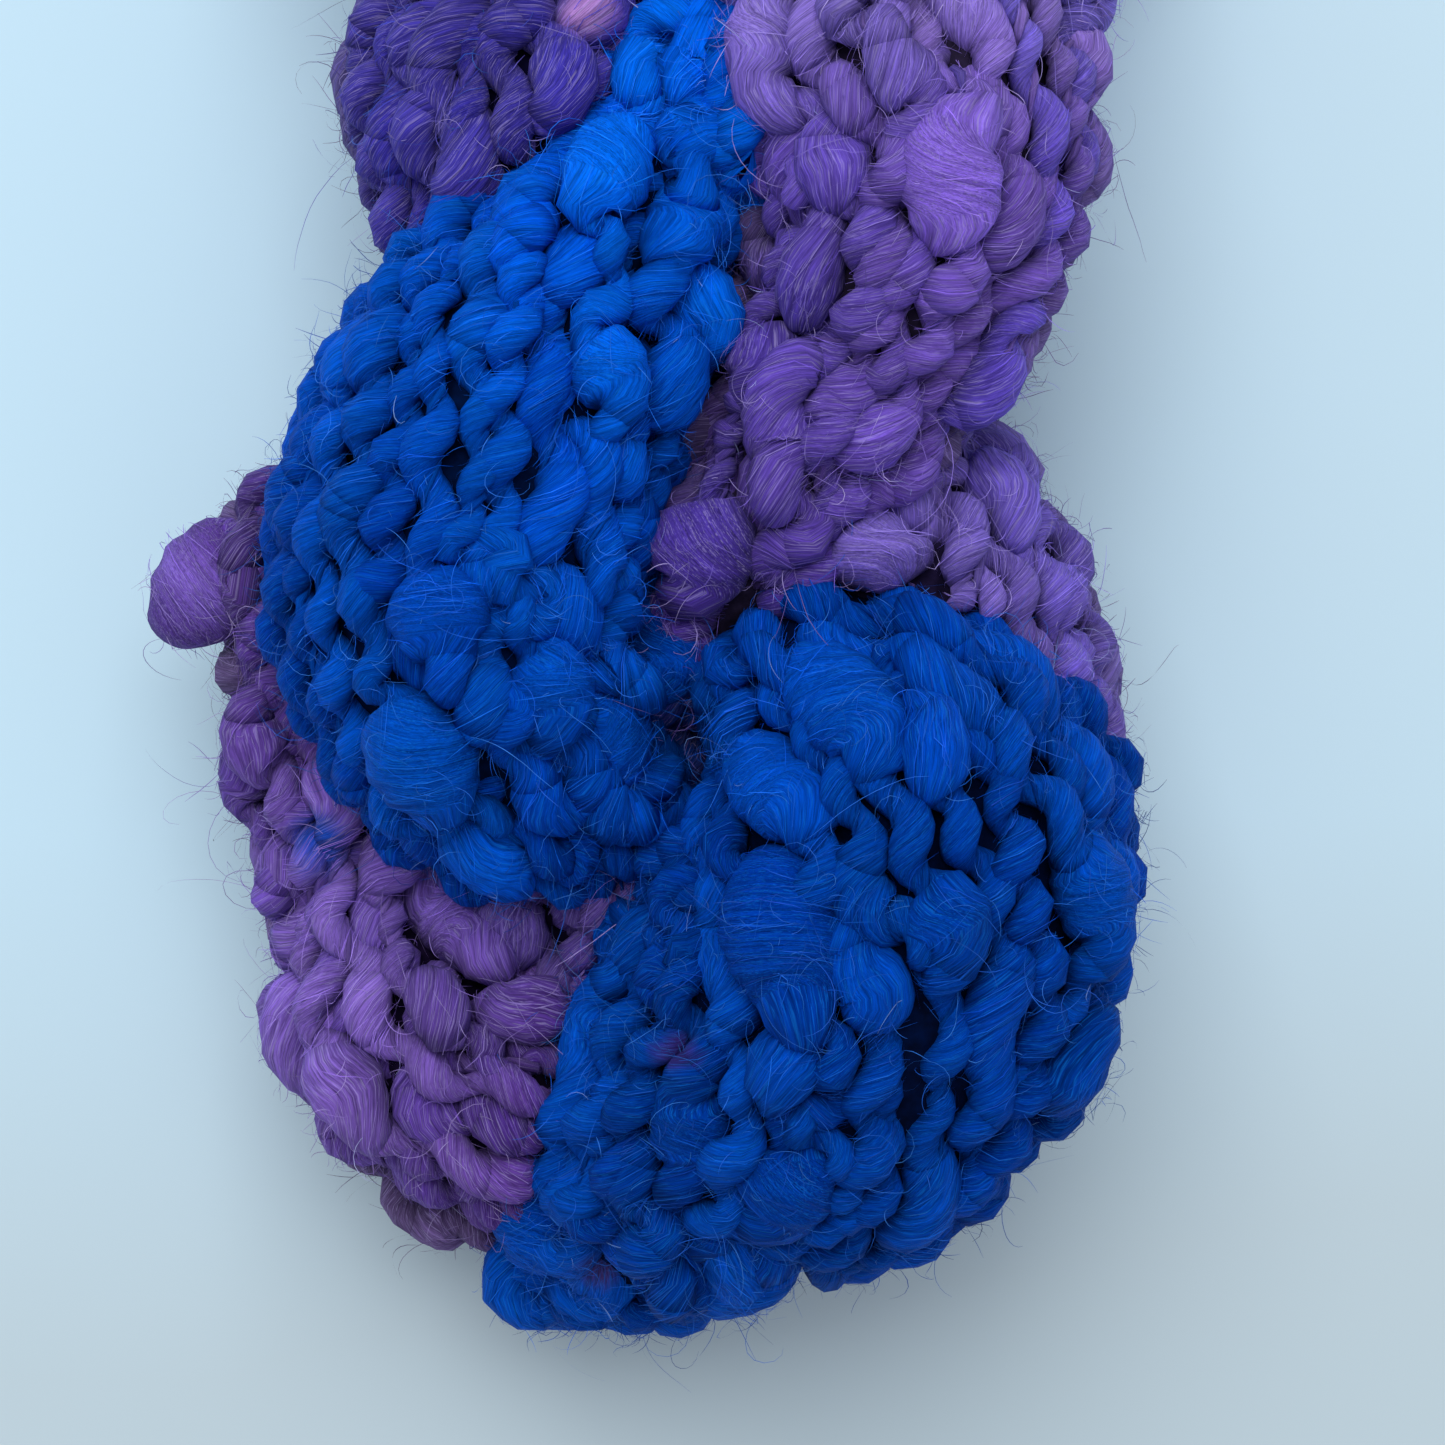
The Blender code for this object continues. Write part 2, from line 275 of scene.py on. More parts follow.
# Slubs that the photograph shows, on the top of their bundles.
SLUBS = [
    Slub("front_right", 29.6, 65.5, 6.2, 11.0),
    Slub("front_right", 24.5, 77.5, 4.5, 6.5),
    Slub("front_right", 7.0, 83.0, 5.5, 8.0),
    Slub("front_right", -0.6, 21.4, 7.0, 7.8),
    Slub("front_right", 6.5, 44.5, 5.2, 6.0),
    Slub("front_right", 9.0, 35.0, 4.6, 6.0),
    Slub("back_right", 22.3, 19.5, 8.0, 6.0),
    Slub("front_left", -12.0, 66.8, 6.2, 7.6),
    Slub("front_left", -1.9, 60.5, 5.6, 7.6),
    Slub("front_left", -1.8, 50.5, 5.2, 6.4),
    Slub("front_left", -12.0, 42.2, 5.6, 6.4),
    Slub("front_left", -4.5, 41.5, 4.4, 7.6),
    Slub("front_left", -32.1, 12.6, 6.6, 6.6),
    Slub("front_left", -34.6, -4.4, 7.8, 9.2),
    Slub("front_left", -19.5, 3.8, 6.0, 6.6),
    Slub("front_left", -12.6, -2.5, 6.4, 9.0),
    Slub("front_left", -5.7, 9.0, 7.2, 7.6),
    Slub("front_left", -26.0, -16.5, 5.4, 9.5),
    Slub("front_left", -17.0, -15.5, 5.2, 6.2),
    Slub("low_right", 17.0, 1.3, 6.4, 13.5),
    Slub("low_right", 8.2, -8.8, 6.0, 11.5),
    Slub("low_right", 9.5, -26.5, 7.8, 12.6),
    Slub("low_right", 28.4, -3.8, 5.0, 7.6),
    Slub("low_right", 28.4, -24.0, 5.6, 5.8),
    Slub("low_right", 47.5, -21.4, 5.8, 9.6),
    Slub("low_right", 45.4, -43.4, 5.2, 6.4),
    Slub("low_right", 9.5, -41.5, 5.0, 5.6),
    Slub("low_right", 9.5, -56.7, 6.6, 7.8),
    Slub("low_right", -1.9, -50.4, 5.8, 9.0),
    Slub("low_right", -20.8, -53.0, 3.9, 5.6),
    Slub("low_left", -32.1, -26.5, 5.6, 11.5),
    Slub("low_left", -13.2, -28.4, 5.4, 7.8),
    Slub("low_left", -46.5, -47.0, 5.2, 7.2),
    Slub("low_left", -34.6, -36.5, 4.0, 6.4),
    Slub("low_left", -22.0, -36.5, 4.6, 6.4),
    Slub("low_left", -57.5, -2.5, 5.0, 6.4),
    Slub("low_left", -41.0, -17.6, 4.4, 6.4),
    Slub("low_left", -36.0, -68.0, 4.8, 5.8),
    Slub("back_left", -14.5, 89.0, 5.8, 6.4),
    Slub("back_left", -18.3, 79.4, 4.4, 6.4),
]

# Felted balls that hide the strands under them. The heading is in degrees from X.
TUFTS = [
    Tuft("low_right", -21.0, -64.5, 33.0, 7.2, 9.0, 105),
    Tuft("low_right", -5.0, -64.0, 43.0, 8.6, 10.0, 62),
    Tuft("low_left", -65.2, 17.8, 31.0, 8.2, 9.6, 50),
]

# How far the strands turn round their bundle, in degrees from its length, at
# even stops along it.
TWIST = {
    "front_left": (28, 26, 8, 0),
    "front_right": (14, 12),
    "low_right": (0, 18, 56, 42, 30),
    "low_right_turned": (0, 18, 56, 42, 30),
}

# Dyes as sRGB at even stops along the bundle; along front_right the pale first stop is partly
# painted light and the dark last stop partly painted shade where the bundles cross. Second is a
# factor of the main dye, for whole strands and for stretches of them.
DYES_AND_PAINTED_LIGHT = {
    "front_left": Dye([(2, 112, 248), (2, 80, 196), (2, 66, 166)], (0.5, 0.62, 0.8), 0.5, 0.4),
    "low_right": Dye([(2, 74, 190), (2, 66, 170), (2, 70, 174)], (0.5, 0.6, 0.76), 0.5, 0.4),
    # Painted light at the first stop and painted shade at the last, over the lilac dye.
    "front_right": Dye(
        [(220, 196, 254), (120, 90, 196), (70, 42, 136)], (0.62, 0.7, 0.95), 0.5, 0.5
    ),
    "back_right": Dye([(122, 100, 196), (128, 106, 202)], (0.66, 0.66, 0.86), 0.5, 0.4),
    "back_left": Dye([(68, 58, 164), (64, 55, 158)], (0.6, 0.62, 0.88), 0.5, 0.5),
    "low_left": Dye(
        [(94, 64, 152), (94, 64, 152), (138, 106, 204), (94, 60, 148), (112, 80, 180)],
        (0.66, 0.6, 0.82),
        0.5,
        0.5,
    ),
    "under_left": Dye([(104, 80, 166), (104, 80, 166)], (0.66, 0.6, 0.82), 0.5, 0.4),
    "low_right_turned": Dye([(100, 88, 194), (100, 88, 194)], (0.62, 0.64, 0.88), 0.5, 0.5),
    "low_left_turned": Dye([(2, 80, 200), (2, 80, 200)], (0.5, 0.6, 0.76), 0.5, 0.4),
    "under_left_turned": Dye([(2, 76, 190), (2, 76, 190)], (0.5, 0.6, 0.76), 0.5, 0.4),
}
BLUE = {"front_left", "low_right", "low_left_turned", "under_left_turned"}
# PALE_BLUE and PALE_LILAC tint the wool's sheen, and are the painted highlight in its pale streaks
# and on the lying fibres.
PALE_BLUE = (22, 126, 234)
PALE_LILAC = (186, 172, 232)
HAIR_BLUE = (64, 138, 222)
HAIR_LILAC = (196, 182, 230)
EDGE_GREY = (108, 96, 104)
NEARLY_WHITE = (176, 204, 238)

# The dye along a strand: how it leans to the second shade and how light it is.
LEAN_MIDDLE = 0.4
LEAN_REACH = 22
LIGHT_EACH = 0.18
LIGHT_SWAY = 0.14
LIGHT_REACH = 9
SLUB_LIGHT = 0.1
BINDER_LIGHT = 0.9
EDGE_SHARE = 0.5

# The studio, in metres but for the floor's half side in mm: the camera sees twice
# HALF_FRAME at FRAME_DISTANCE from it.
FLOOR_HALF = 1500.0
SKY_STRENGTH = 0.53
WINDOW_SIDE = 1.0
WINDOW_ENERGY = 11.3
WINDOW_PLACE = (-0.08, 0.6, 1.15)
CAMERA_PLACE = (0.0091, -0.0573, 0.47)
HALF_FRAME = 0.091
FRAME_DISTANCE = 0.42

# Small places of another colour: the other dye, a pinkish strand and a deep blue place.
PEEKS = [
    Peek(-49.8, -15.8, 4.0, (4, 70, 180)),
    Peek(-3.5, -40.5, 2.2, (60, 42, 120)),
    Peek(-13.7, -71.0, 2.4, (66, 52, 112)),
    Peek(-14.5, 88.2, 3.6, (170, 126, 196)),
    Peek(-3.0, -1.0, 7.5, (2, 56, 144)),
]

# Where the wool is felted and fluffy: x, y and reach in mm.
FUZZY = [(-5.7, 9.5, 9.0), (-4.4, -65.5, 10.0), (-14.0, -70.0, 9.0), (-66.5, 17.0, 10.0)]


def linear(colour):
    """sRGB 0 to 255 as linear light."""
    share = np.asarray(colour, float) / 255
    return np.where(share <= 0.04045, share / 12.92, ((share + 0.055) / 1.055) ** 2.4)


def unit(vectors):
    return vectors / np.maximum(np.linalg.norm(vectors, axis=-1, keepdims=True), 1e-9)


def wander(rng, distance, reach):
    """Smooth noise of about -1 to 1 along a line, that changes over the given reach."""
    knots = rng.uniform(-1, 1, int(distance[-1] / reach) + 3)
    place = distance / reach
    low = place.astype(int)
    part = place - low
    part = part * part * (3 - 2 * part)
    return knots[low] * (1 - part) + knots[low + 1] * part


def smooth_path(sections, spacing):
    """Stations at an even spacing on a Catmull-Rom curve through the sections: x, y, z, radius."""
    rows = np.array(sections, float)
    rows = np.vstack([2 * rows[0] - rows[1], rows, 2 * rows[-1] - rows[-2]])
    rows[:, 3] = np.maximum(rows[:, 3], 4.0)
    fine = []
    for i in range(1, len(rows) - 2):
        a, b, c, d = rows[i - 1 : i + 3]
        for t in np.linspace(0, 1, 24, endpoint=False):
            fine.append(
                0.5
                * (
                    2 * b
                    + (c - a) * t
                    + (2 * a - 5 * b + 4 * c - d) * t**2
                    + (3 * b - a - 3 * c + d) * t**3
                )
            )
    fine = np.array(fine + [rows[-2]])
    steps = np.linalg.norm(np.diff(fine[:, :3], axis=0), axis=1)
    along = np.concatenate([[0], np.cumsum(steps)])
    count = max(3, round(along[-1] / spacing)) + 1
    wanted = np.linspace(0, along[-1], count)
    return np.column_stack([np.interp(wanted, along, fine[:, k]) for k in range(4)])


def half_turned(sections):
    """The same sections after a half turn about the hank's middle, about Z."""
    return [Section(-s.x, 2 * MIDDLE_Y - s.y, s.z, s.radius) for s in sections]


def bundle_path(sections, ratio):
    """A bundle's middle line with its directions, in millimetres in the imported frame."""
    stations = smooth_path(sections, 1.0)
    centre = stations[:, :3] + TO_FRAME
    along = unit(np.gradient(centre, axis=0))
    across = unit(np.cross(along, (0.0, 0.0, 1.0)))
    up = np.cross(across, along)
    distance = np.arange(len(centre), dtype=float)
    return Path(centre, along, across, up, stations[:, 3], ratio, distance)


def all_paths():
    paths = {n: bundle_path(s, HEIGHT_RATIO[n]) for n, s in BUNDLES.items()}
    for name, sections in TURNED.items():
        paths[name + "_turned"] = bundle_path(half_turned(sections), HEIGHT_RATIO[name])
    return paths


def strand_lines(path, twist, rng):
    """Lines on the bundle's skin, side by side: points, outward direction, and if it is shown."""
    place = path.distance / path.distance[-1] * (len(twist) - 1)
    slope = np.radians(np.interp(place, range(len(twist)), twist))
    girth = 2 * math.pi * path.radius * math.sqrt((1 + path.ratio**2) / 2)
    count = round((girth * np.cos(slope)).max() / STRAND_SPACING)
    spacing = 2 * math.pi * path.radius / count
    crowd = np.clip(1 - spacing * np.cos(slope) / CROWDED_SPACING, 0, 1)
    turned = np.cumsum(np.tan(slope) / np.maximum(path.radius, 7.0))
    together = STRAND_SWAY * wander(rng, path.distance, STRAND_SWAY_REACH)
    lines = []
    for i in range(count):
        angle = 2 * math.pi * (i + PLACE_JITTER * rng.uniform(-1, 1)) / count - turned
        sway = together + OWN_SWAY * wander(rng, path.distance, OWN_SWAY_REACH)
        angle = angle + sway * spacing / path.radius
        rank = (i * GOLDEN) % 1.0
        sink = rank * crowd * CROWD_SINK
        inset = STRAND_INSET + sink + INSET_SWAY * wander(rng, path.distance, OWN_SWAY_REACH)
        reach = np.maximum(path.radius - inset, 1.0)[:, None]
        sine, cosine = np.sin(angle)[:, None], np.cos(angle)[:, None]
        points = path.centre + reach * (sine * path.across + cosine * path.ratio * path.up)
        outward = unit(sine * path.across + cosine / path.ratio * path.up)
        lines.append([points, outward, sink < DEEPEST_SINK])
    return lines


def slub_spot(path, slub):
    """Where the slub's middle lies: a little inside the bundle's skin."""
    target = np.array([slub.x, slub.y]) + TO_FRAME[:2]
    station = int(np.argmin(np.linalg.norm(path.centre[:, :2] - target, axis=1)))
    aside = (target - path.centre[station, :2]) @ path.across[station, :2]
    rise = path.ratio * math.sqrt(max(path.radius[station] ** 2 - aside**2, 9.0))
    return np.append(target, path.centre[station, 2] + rise - SLUB_SUNK * slub.half_width)


def part_neighbours(lines, chosen, spot, tangent, half_width, half_length):
    """Moves the other strands aside from a slub; chosen is None for a felted ball."""
    for i, (others, _, _) in enumerate(lines):
        if i == chosen:
            continue
        offset = others - spot
        lengthwise = offset @ tangent
        sideways = offset - lengthwise[:, None] * tangent
        gap = np.linalg.norm(sideways, axis=1)
        push = np.clip(half_width + NEIGHBOUR_ROOM - gap, 0, FARTHEST_PUSH)
        push = push * np.exp(-((lengthwise / (PART_REACH * half_length)) ** 4))
        others += push[:, None] * sideways / np.maximum(gap, 0.5)[:, None]


def place_slub(path, lines, slub, bumps):
    """Swells the strand that passes nearest, leads it to the slub and parts its neighbours."""
    spot = slub_spot(path, slub)
    best = None
    for i, (points, _, _) in enumerate(lines):
        miss = np.linalg.norm(points - spot, axis=1)
        at = int(np.argmin(miss))
        taken = any(abs(at - b[0]) < b[2] + slub.half_length for b in bumps[i])
        cost = miss[at] + TAKEN_COST * taken
        if best is None or cost < best[0]:
            best = (cost, i, at)
    _, chosen, at = best
    points, _, shown = lines[chosen]
    low = max(at - TANGENT_REACH, 0)
    high = min(at + TANGENT_REACH, len(points) - 1)
    tangent = unit(points[high] - points[low])
    stretch = np.linalg.norm(points[high] - points[low]) / (high - low)
    travel = (np.arange(len(points)) - at) * stretch
    near = np.exp(-(np.abs(travel / (LEAD_REACH * slub.half_length)) ** 3))[:, None]
    points[:] = points * (1 - near) + (spot + travel[:, None] * tangent) * near
    shown |= near[:, 0] > 0.1
    part_neighbours(lines, chosen, spot, tangent, slub.half_width, slub.half_length)
    bumps[chosen].append((at, slub.half_width, slub.half_length / stretch))


def tuft_line(lines, tuft):
    """A short strand of its own through a felted ball, which parts the strands about it."""
    spot = np.array([tuft.x, tuft.y, tuft.z]) + TO_FRAME
    heading = math.radians(tuft.heading)
    way = np.array([math.cos(heading), math.sin(heading), 0.0])
    part_neighbours(lines, None, spot, way, tuft.half_width, tuft.half_length)
    reach = round(tuft.half_length) - 1
    travel = np.arange(-reach, reach + 1.0)
    points = spot + travel[:, None] * way
    points[:, 2] -= TUFT_DROOP * travel**2
    middle = len(travel) // 2
    outward = np.tile((0.0, 0.0, 1.0), (len(travel), 1))
    line = [points, outward, np.full(len(travel), True)]
    return line, [(middle, tuft.half_width, tuft.half_length)]


def drawn_in(path, lines, bumps):
    """Draws strands that stand out of the bundle back to its skin, except at their own slubs."""
    for i, (points, _, _) in enumerate(lines):
        depth = np.full(len(points), SKIN_DEPTH)
        for at, _, half_length in bumps[i]:
            depth *= 1 - np.exp(-(((path.distance - at) / (OWN_REACH * half_length)) ** 4))
        offset = points - path.centre
        aside = (offset * path.across).sum(1)
        rise = (offset * path.up).sum(1)
        reach = np.hypot(aside, rise / path.ratio)
        excess = 1 - np.minimum(1, np.maximum(path.radius - depth, 1.0) / np.maximum(reach, 0.1))
        inward = aside[:, None] * path.across + rise[:, None] * path.up
        points -= excess[:, None] * inward


def slub_profile(distance, half_width, half_length):
    """A spindle: the slub's radius along the strand, 0 outside it."""
    share = np.clip(np.abs(distance) / half_length, 0, 1)
    return half_width * (1 - share**2) ** 0.7


def single_radius(distance, bumps, rng):
    """Thick and thin: the fat single's radius along the strand."""
    thick = np.full(len(distance), THICKNESS_EACH * rng.normal())
    for strength, reach in THICKNESS_WAVES:
        thick += strength * wander(rng, distance, reach)
    radius = SINGLE_RADIUS * np.exp(thick)
    for at, half_width, half_length in bumps:
        bump = slub_profile(distance - at, SLUB_FULLNESS * half_width, half_length)
        radius = np.maximum(radius, bump)
    return radius


def hidden(points, own_name, paths):
    """True where a point lies well inside another bundle."""
    inside = np.zeros(len(points), bool)
    for name, path in paths.items():
        if name == own_name:
            continue
        every = slice(None, None, 3)
        offset = points[:, None, :] - path.centre[None, every, :]
        offset[:, :, 2] /= path.ratio
        depth = path.radius[None, every] - np.linalg.norm(offset, axis=2)
        inside |= depth.max(axis=1) > HIDDEN_DEPTH
    return inside


def visible_runs(shown, shortest):
    """Start and end of each stretch that shows, the short ones left out."""
    edges = np.flatnonzero(np.diff(np.concatenate([[0], shown.astype(int), [0]])))
    return [(a, b) for a, b in zip(edges[::2], edges[1::2]) if b - a >= shortest]


def resampled(distance, radius, stretch, facing):
    """Distances for the rings: closer where the coils are tighter, wider on the underside."""
    step = np.clip(STEP_PER_PITCH * PITCH_PER_RADIUS * radius, STEP_SMALLEST, STEP_LARGEST)
    under = np.clip((-facing - 0.4) / 0.3, 0, 1)
    step = step / stretch * (1 + (UNDERSIDE_STRIDE - 1) * under)
    ticks = np.concatenate([[0], np.cumsum(np.diff(distance) / step[:-1])])
    count = max(8, int(ticks[-1]))
    return np.interp(np.linspace(0, ticks[-1], count), ticks, distance)


def rows_at(values, distance, wanted):
    return np.column_stack([np.interp(wanted, distance, values[:, k]) for k in range(3)])


def ring_quads(first, rings, sides):
    """Quads between rings of points, from the first point on."""
    ring = np.arange(sides)
    after = (ring + 1) % sides
    start = first + np.arange(rings - 1)[:, None] * sides
    corners = (start + after, start + sides + after, start + sides + ring, start + ring)
    return np.stack(corners, axis=2).reshape(-1, 4)


class Tubes:
    """Collects tubes and their surface values, to be made into one mesh."""

    def __init__(self):
        self.points, self.fibre, self.colour = [], [], []
        self.faces = {}
        self.size = 0

    def keep(self, faces):
        self.faces.setdefault(faces.shape[1], []).append(faces)

    def add(self, centre, first, second, radius, sides, turn, colour, strand, facing, length):
        """One tube, a little oval, its fibre coordinates turned at each ring, with painted shade on
        the side that faces into its bundle.
        """
        rings = len(centre)
        angle = np.linspace(0, 2 * math.pi, sides, endpoint=False)[None, :]
        length = length[:, None]
        oval = 1 + 0.07 * np.cos(2 * angle + 0.5 * length + strand)
        oval = oval + 0.04 * np.cos(3 * angle - 0.9 * length + 2 * strand)
        reach = (radius[:, None] * oval)[:, :, None]
        skin = np.cos(angle)[:, :, None] * first[:, None, :]
        skin = skin + np.sin(angle)[:, :, None] * second[:, None, :]
        points = (centre[:, None, :] + skin * reach).reshape(-1, 3)
        phase = angle - turn[:, None]
        fibre = np.stack(
            [
                FIBRE_RADIUS * np.cos(phase),
                FIBRE_RADIUS * np.sin(phase),
                np.repeat(length, sides, 1) + 97.0 * strand,
            ],
            axis=2,
        ).reshape(-1, 3)
        ring = np.arange(sides)
        self.keep(ring_quads(self.size, rings, sides))
        self.keep((self.size + ring)[::-1][None, :])
        self.keep((self.size + (rings - 1) * sides + ring)[None, :])
        self.points.append(points)
        self.fibre.append(fibre)
        # Painted shade: each ring is darker on the side that faces into the bundle, down to
        # DEEP_SHADE of its colour.
        outward = np.clip(0.5 + 0.8 * (skin * facing[:, None, :]).sum(2), 0, 1)
        shade = DEEP_SHADE + (1 - DEEP_SHADE) * outward[:, :, None]
        self.colour.append((colour[:, None, :] * shade).reshape(-1, 3))
        self.size += len(points)


def mesh_object(name, points, faces, smooth=True):
    """A mesh object from points in millimetres and lists of faces, each an array of equal faces."""
    mesh = bpy.data.meshes.new(name)
    faces = [np.asarray(f) for f in faces if len(f)]
    corners = np.concatenate([f.reshape(-1) for f in faces])
    sizes = np.concatenate([np.full(len(f), f.shape[1]) for f in faces])
    starts = np.concatenate([[0], np.cumsum(sizes)[:-1]])
    mesh.vertices.add(len(points))
    mesh.vertices.foreach_set("co", (points * MM).astype(np.float32).ravel())
    mesh.loops.add(len(corners))
    mesh.loops.foreach_set("vertex_index", corners.astype(np.int32))
    mesh.polygons.add(len(sizes))
    mesh.polygons.foreach_set("loop_start", starts.astype(np.int32))
    mesh.polygons.foreach_set("use_smooth", np.full(len(sizes), smooth))
    mesh.update(calc_edges=True)
    thing = bpy.data.objects.new(name, mesh)
    bpy.context.scene.collection.objects.link(thing)
    return thing


def set_colour(mesh, values):
    layer = mesh.attributes.new("yarn_colour", "FLOAT_COLOR", "POINT")
    rgba = np.column_stack([values, np.ones(len(values))])
    layer.data.foreach_set("color", rgba.astype(np.float32).ravel())


def above_floor(points):
    """Presses whatever would reach the surface flat against it."""
    low = points[:, 2] < PRESSED_UNDER
    points[low, 2] = PRESSED_UNDER * np.exp(points[low, 2] / PRESSED_UNDER - 1)
    return points


def strand_colour(dye, distance, radius, rng):
    """The dye along a strand: it leans to the second shade, and slubs are a little lighter."""
    lean = dye.strand_share * rng.uniform(-1, 1)
    lean = lean + dye.along_share * wander(rng, distance, LEAN_REACH)
    lean = np.clip(LEAN_MIDDLE + lean, 0, 1)[:, None]
    stops = linear(dye.stops)
    place = distance / distance[-1] * (len(stops) - 1)
    main = np.column_stack([np.interp(place, range(len(stops)), stops[:, k]) for k in range(3)])
    light = LIGHT_EACH * rng.uniform(-1, 1)
    bright = np.exp(light + LIGHT_SWAY * wander(rng, distance, LIGHT_REACH))
    swollen = np.clip((radius - 3.4) / 1.8, 0, 1)
    bright = bright * (1 + SLUB_LIGHT * swollen)
    return main * (1 - lean + lean * np.array(dye.second)) * bright[:, None]


def by_width(radius):
    """A strand's stretches, thin and fat by turns, each with its widest radius."""
    edges = np.flatnonzero(np.diff((radius > FAT_RADIUS).astype(int))) + 1
    for first, last in zip([0, *edges], [*edges, len(radius)]):
        yield slice(first, min(last + 1, len(radius))), radius[first:last].max()


def sides_for(widest, name):
    """Sides of a tube: more where it is wider, fewer in a bundle that hardly shows."""
    if name.endswith("_turned") or name == "under_left":
        return UNSEEN_SIDES
    if widest > SLUB_RADIUS:
        return SLUB_SIDES
    return FAT_SIDES if widest > FAT_RADIUS else THIN_SIDES


def edge_greyed(colour, outward, blue):
    """Lilac strands turn brownish grey where they face sideways."""
    if blue:
        return colour
    share = np.clip((0.3 - outward[:, 2]) / 0.3, 0, 1) * (outward[:, 2] > -0.6)
    share = EDGE_SHARE * share
    return colour * (1 - share[:, None]) + linear(EDGE_GREY) * share[:, None]


def add_strand(tubes, plies, line, bumps, name, shown, number, rng):
    """One plied strand: the fat single and its binder, each a coil round the line."""
    points, outward, _ = line
    distance = np.arange(len(points), dtype=float)
    stretch = np.linalg.norm(np.gradient(points, axis=0), axis=1)
    radius = single_radius(distance, bumps, rng)
    colour = strand_colour(DYES_AND_PAINTED_LIGHT[name], distance, radius, rng)
    colour = edge_greyed(colour, outward, name in BLUE)
    binder_colour = strand_colour(DYES_AND_PAINTED_LIGHT[name], distance, radius, rng) * BINDER_LIGHT
    sway = PITCH_SWAY * wander(rng, distance, PITCH_SWAY_REACH)
    pitch = PITCH_PER_RADIUS * radius * np.exp(sway)
    phase = rng.uniform(0, 2 * math.pi) + np.cumsum(2 * math.pi * stretch / pitch)
    slub_slant = -rng.uniform(*SLUB_SLANT)
    for first, last in visible_runs(shown, SHORTEST_RUN):
        run = slice(first, last)
        wanted = resampled(distance[run], radius[run], stretch[run], outward[run, 2])
        line_points = rows_at(points, distance, wanted)
        tangent = unit(np.gradient(line_points, axis=0))
        line_out = rows_at(outward, distance, wanted)
        line_out = unit(line_out - (line_out * tangent).sum(1)[:, None] * tangent)
        r = np.interp(wanted, distance, radius)
        turn = np.interp(wanted, distance, phase)
        r = r * (1 + PLUMP * np.clip((PLUMP_UNDER - r) / 0.8, 0, 1) * np.cos(turn))
        tint = rows_at(colour, distance, wanted)
        swing = np.cos(turn)[:, None] * line_out
        swing = swing + np.sin(turn)[:, None] * np.cross(tangent, line_out)
        offset = COIL_OFFSET * r * np.exp(-np.maximum(r - COIL_FADE_FROM, 0) / COIL_FADE)
        centre = line_points + offset[:, None] * swing
        centre[:, 2] = np.maximum(centre[:, 2], 0.85 * r + FLOOR_CLEARANCE)
        heading = unit(np.gradient(centre, axis=0))
        out = unit(swing - (swing * heading).sum(1)[:, None] * heading)
        other = np.cross(heading, out)
        ends = np.minimum(np.arange(len(r)), np.arange(len(r))[::-1])
        taper = np.clip(0.25 + ends / END_TAPER, 0, 1)
        swollen = np.clip((r - SLANT_TURNS_FROM) / SLANT_TURNS_OVER, 0, 1)
        slant = np.tan(np.radians(THIN_SLANT * (1 - swollen) + slub_slant * swollen))
        stride = np.linalg.norm(np.gradient(centre, axis=0), axis=1)
        fibre_turn = np.cumsum(slant / r * stride)
        length = np.cumsum(stride)
        for part, widest in by_width(r):
            tubes.add(
                centre[part],
                out[part],
                other[part],
                (r * taper)[part],
                sides_for(widest, name),
                fibre_turn[part],
                tint[part],
                number,
                line_out[part],
                length[part],
            )
        plies.append(Ply(centre, out, other, r * taper, slant, stride, tint, line_out))
        half = slice(None, None, 2)
        thin = np.clip((1.9 - r[half]) / 0.7, 0, 1)
        thread = THREAD_RADIUS + THREAD_GROWTH * thin
        sunk = THREAD_SUNK * np.clip(r[half] - 3.2, 0, 1)
        reach = (r - offset)[half] + 0.4 * thread - sunk
        path = line_points[half] - reach[:, None] * swing[half]
        path[:, 2] = np.maximum(path[:, 2], thread + FLOOR_CLEARANCE)
        way = unit(np.gradient(path, axis=0))
        up = unit(line_out[half] - (line_out[half] * way).sum(1)[:, None] * way)
        thread_tint = rows_at(binder_colour, distance, wanted[half])
        flat = np.zeros(len(path))
        side = np.cross(way, up)
        run_length = length[half]
        tubes.add(
            path, up, side, thread, BINDER_SIDES, flat, thread_tint, number, up, run_length
        )


def random_slubs(lines, bumps, rng):
    """A few more slubs, away from the placed ones."""
    for i, (points, _, _) in enumerate(lines):
        at = int(rng.uniform(4, 45))
        while at < len(points) - 4:
            half_length = rng.uniform(*RANDOM_SLUB_LENGTH)
            half_width = RANDOM_SLUB_WIDTH + RANDOM_SLUB_SPREAD * rng.uniform() ** 1.5
            if all(abs(at - b[0]) > b[2] + half_length + 2 for b in bumps[i]):
                tangent = unit(points[at + 3] - points[at - 3])
                part_neighbours(lines, i, points[at], tangent, half_width, half_length)
                bumps[i].append((at, half_width, half_length))
            at += int(rng.uniform(*RANDOM_SLUB_GAP))


def with_peeks(points, colours):
    """Blends in the other dye at the small places where it shows."""
    for peek in PEEKS:
        spot = np.array([peek.x, peek.y]) + TO_FRAME[:2]
        apart = np.linalg.norm(points[:, :2] - spot, axis=1)
        share = np.exp(-((apart / peek.reach) ** 6))[:, None]
        colours = colours * (1 - share) + linear(peek.colour) * share
    return colours


